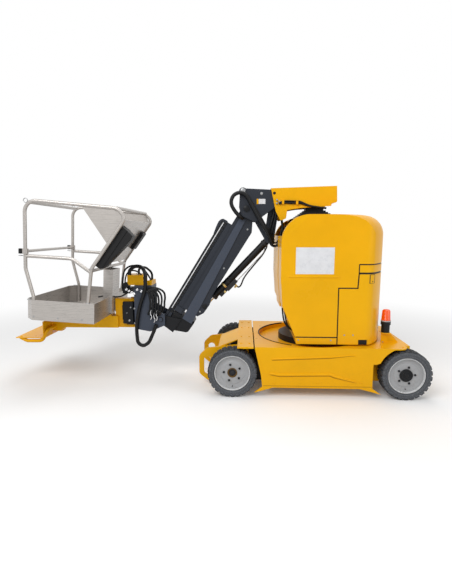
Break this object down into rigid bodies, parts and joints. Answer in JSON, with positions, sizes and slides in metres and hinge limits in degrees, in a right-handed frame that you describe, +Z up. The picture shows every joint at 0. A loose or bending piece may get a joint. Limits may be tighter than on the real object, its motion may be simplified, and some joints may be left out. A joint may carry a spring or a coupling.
{
  "type": "vertical mast lift",
  "caption": "Self-propelled electric mast lift with slewing turret, telescopic mast, jib and one-person basket.",
  "frame": {"origin": "on the ground under the middle of the machine's bounding box", "axes": "+X to the rear of the chassis, -X to the basket, +Z up"},
  "size_m": [4.195, 1.2, 2.041],
  "materials": {
    "yellow_paint": "gloss machine enamel",
    "black_paint": "satin black enamel",
    "stainless": "brushed stainless",
    "bare_steel": "machined steel",
    "cast_dark": "dark casting",
    "tyre_rubber": "non-marking rubber",
    "rim_paint": "silver-grey enamel",
    "amber": "amber lens",
    "black_plastic": "moulded",
    "hose_rubber": "hydraulic hose"
  },
  "bodies": {
    "chassis": {"chassis_frame": "yellow_paint", "chassis_ballast": "cast_dark", "nose_lugs": "yellow_paint", "nose_cover": "yellow_paint", "wheel_guards": "black_paint", "tie_down_lugs": "yellow_paint", "front_axle_beam": "cast_dark", "rear_axle_drives": "cast_dark", "slew_ring": "cast_dark", "beacon_bracket": "yellow_paint", "beacon_socket": "black_plastic", "beacon_lens": "amber"},
    "knuckle_near": {"steering_knuckle_near": "cast_dark"},
    "knuckle_far": {"steering_knuckle_far": "cast_dark"},
    "tie_rod": {"tie_rod": "bare_steel"},
    "turret": {"turret_base": "yellow_paint", "turret_cover": "yellow_paint", "rear_band": "yellow_paint", "rear_panel_near": "yellow_paint", "counterweight": "cast_dark", "battery_pack": "black_plastic", "mast_column": "black_paint", "mast_front_cover": "yellow_paint"},
    "rear_door_far": {"rear_door_far": "yellow_paint"},
    "mast_stage_1": {"mast_stage_1": "black_paint"},
    "mast_stage_2": {"mast_stage_2": "black_paint"},
    "mast_stage_3": {"mast_stage_3": "black_paint"},
    "mast_stage_4": {"mast_stage_4": "black_paint"},
    "mast_head": {"mast_stage_5": "black_paint", "mast_head": "yellow_paint", "head_bracket": "black_paint", "rocker_lever": "black_paint", "head_hose": "hose_rubber"},
    "jib": {"jib_boom": "black_paint", "chain_tray": "black_paint"},
    "jib_inner": {"jib_inner": "black_paint"},
    "lift_barrel": {"lift_cylinder_barrel": "black_paint"},
    "lift_rod": {"lift_cylinder_rod": "bare_steel"},
    "upright": {"basket_upright": "black_paint", "swing_barrel": "black_paint", "valve_covers": "yellow_paint", "upright_hose": "hose_rubber", "valve_hose": "hose_rubber"},
    "basket": {"support_arm": "yellow_paint", "entry_step": "yellow_paint", "basket_tray": "stainless", "basket_rails": "stainless", "console_panel": "stainless", "console_box": "black_plastic"},
    "entry_bar": {"entry_bar": "stainless"},
    "wheel_front_near": {"tyre_front_near": "tyre_rubber", "rim_front_near": "rim_paint"},
    "wheel_front_far": {"tyre_front_far": "tyre_rubber", "rim_front_far": "rim_paint"},
    "wheel_rear_near": {"tyre_rear_near": "tyre_rubber", "rim_rear_near": "rim_paint"},
    "wheel_rear_far": {"tyre_rear_far": "tyre_rubber", "rim_rear_far": "rim_paint"}
  },
  "joints": [
    {"name": "steer_near", "type": "hinge", "parent": "chassis", "child": "knuckle_near", "pos_m": [0.2075, -0.44, 0.24], "axis": [0, 0, 1], "range_deg": [-35, 35]},
    {"name": "steer_far", "type": "hinge", "parent": "chassis", "child": "knuckle_far", "pos_m": [0.2075, 0.44, 0.24], "axis": [0, 0, 1], "range_deg": [-35, 35]},
    {"name": "tie_rod_pivot", "type": "hinge", "parent": "knuckle_near", "child": "tie_rod", "pos_m": [0.3175, -0.44, 0.195], "axis": [0, 0, 1], "range_deg": [-35, 35]},
    {"name": "spin_front_near", "type": "hinge", "parent": "knuckle_near", "child": "wheel_front_near", "pos_m": [0.2075, -0.525, 0.24], "axis": [0, 1, 0], "continuous": true},
    {"name": "spin_front_far", "type": "hinge", "parent": "knuckle_far", "child": "wheel_front_far", "pos_m": [0.2075, 0.525, 0.24], "axis": [0, 1, 0], "continuous": true},
    {"name": "spin_rear_near", "type": "hinge", "parent": "chassis", "child": "wheel_rear_near", "pos_m": [1.8575, -0.525, 0.24], "axis": [0, 1, 0], "continuous": true},
    {"name": "spin_rear_far", "type": "hinge", "parent": "chassis", "child": "wheel_rear_far", "pos_m": [1.8575, 0.525, 0.24], "axis": [0, 1, 0], "continuous": true},
    {"name": "turret_slew", "type": "hinge", "parent": "chassis", "child": "turret", "pos_m": [1.0325, 0, 0.5], "axis": [0, 0, 1], "range_deg": [-172, 172]},
    {"name": "rear_door_swing", "type": "hinge", "parent": "turret", "child": "rear_door_far", "pos_m": [1.2125, 0.504, 0.8], "axis": [0, 0, 1], "range_deg": [0, 70]},
    {"name": "mast_slide_1", "type": "slide", "parent": "turret", "child": "mast_stage_1", "axis": [0, 0, 1], "range_m": [0, 1.04]},
    {"name": "mast_slide_2", "type": "slide", "parent": "mast_stage_1", "child": "mast_stage_2", "axis": [0, 0, 1], "range_m": [0, 1.04]},
    {"name": "mast_slide_3", "type": "slide", "parent": "mast_stage_2", "child": "mast_stage_3", "axis": [0, 0, 1], "range_m": [0, 1.04]},
    {"name": "mast_slide_4", "type": "slide", "parent": "mast_stage_3", "child": "mast_stage_4", "axis": [0, 0, 1], "range_m": [0, 1.04]},
    {"name": "mast_slide_5", "type": "slide", "parent": "mast_stage_4", "child": "mast_head", "axis": [0, 0, 1], "range_m": [0, 1.04]},
    {"name": "jib_lift", "type": "hinge", "parent": "mast_head", "child": "jib", "pos_m": [0.3335, 0, 1.822], "axis": [0, 1, 0], "range_deg": [0, 110]},
    {"name": "jib_extend", "type": "slide", "parent": "jib", "child": "jib_inner", "axis": [-0.5255, 0, -0.8508], "range_m": [0, 0.8]},
    {"name": "neck_level", "type": "hinge", "parent": "jib_inner", "child": "upright", "pos_m": [-0.57205, 0, 0.66409], "axis": [0, 1, 0], "range_deg": [-110, 0]},
    {"name": "basket_swing", "type": "hinge", "parent": "upright", "child": "basket", "pos_m": [-0.9075, 0, 0.71], "axis": [0, 0, 1], "range_deg": [-85, 85]},
    {"name": "entry_bar_lift", "type": "slide", "parent": "basket", "child": "entry_bar", "axis": [0.0593, 0, 0.9982], "range_m": [0, 0.19]},
    {"name": "lift_barrel_pivot", "type": "hinge", "parent": "mast_head", "child": "lift_barrel", "pos_m": [0.5745, 0, 1.519], "axis": [0, 1, 0], "range_deg": [0, 94.5]},
    {"name": "lift_rod_slide", "type": "slide", "parent": "lift_barrel", "child": "lift_rod", "axis": [-0.6876, 0, -0.7261], "range_m": [0, 0.57]}
  ],
  "couplings": [
    {"joint": "steer_far", "follows": "steer_near", "ratio": 1},
    {"joint": "tie_rod_pivot", "follows": "steer_near", "ratio": -1},
    {"joint": "mast_slide_2", "follows": "mast_slide_1", "ratio": 1},
    {"joint": "mast_slide_3", "follows": "mast_slide_1", "ratio": 1},
    {"joint": "mast_slide_4", "follows": "mast_slide_1", "ratio": 1},
    {"joint": "mast_slide_5", "follows": "mast_slide_1", "ratio": 1},
    {"joint": "neck_level", "follows": "jib_lift", "ratio": -1},
    {"joint": "lift_barrel_pivot", "follows": "jib_lift", "ratio": 0.85701},
    {"joint": "lift_rod_slide", "follows": "jib_lift", "m_per_rad": 0.29612}
  ]
}
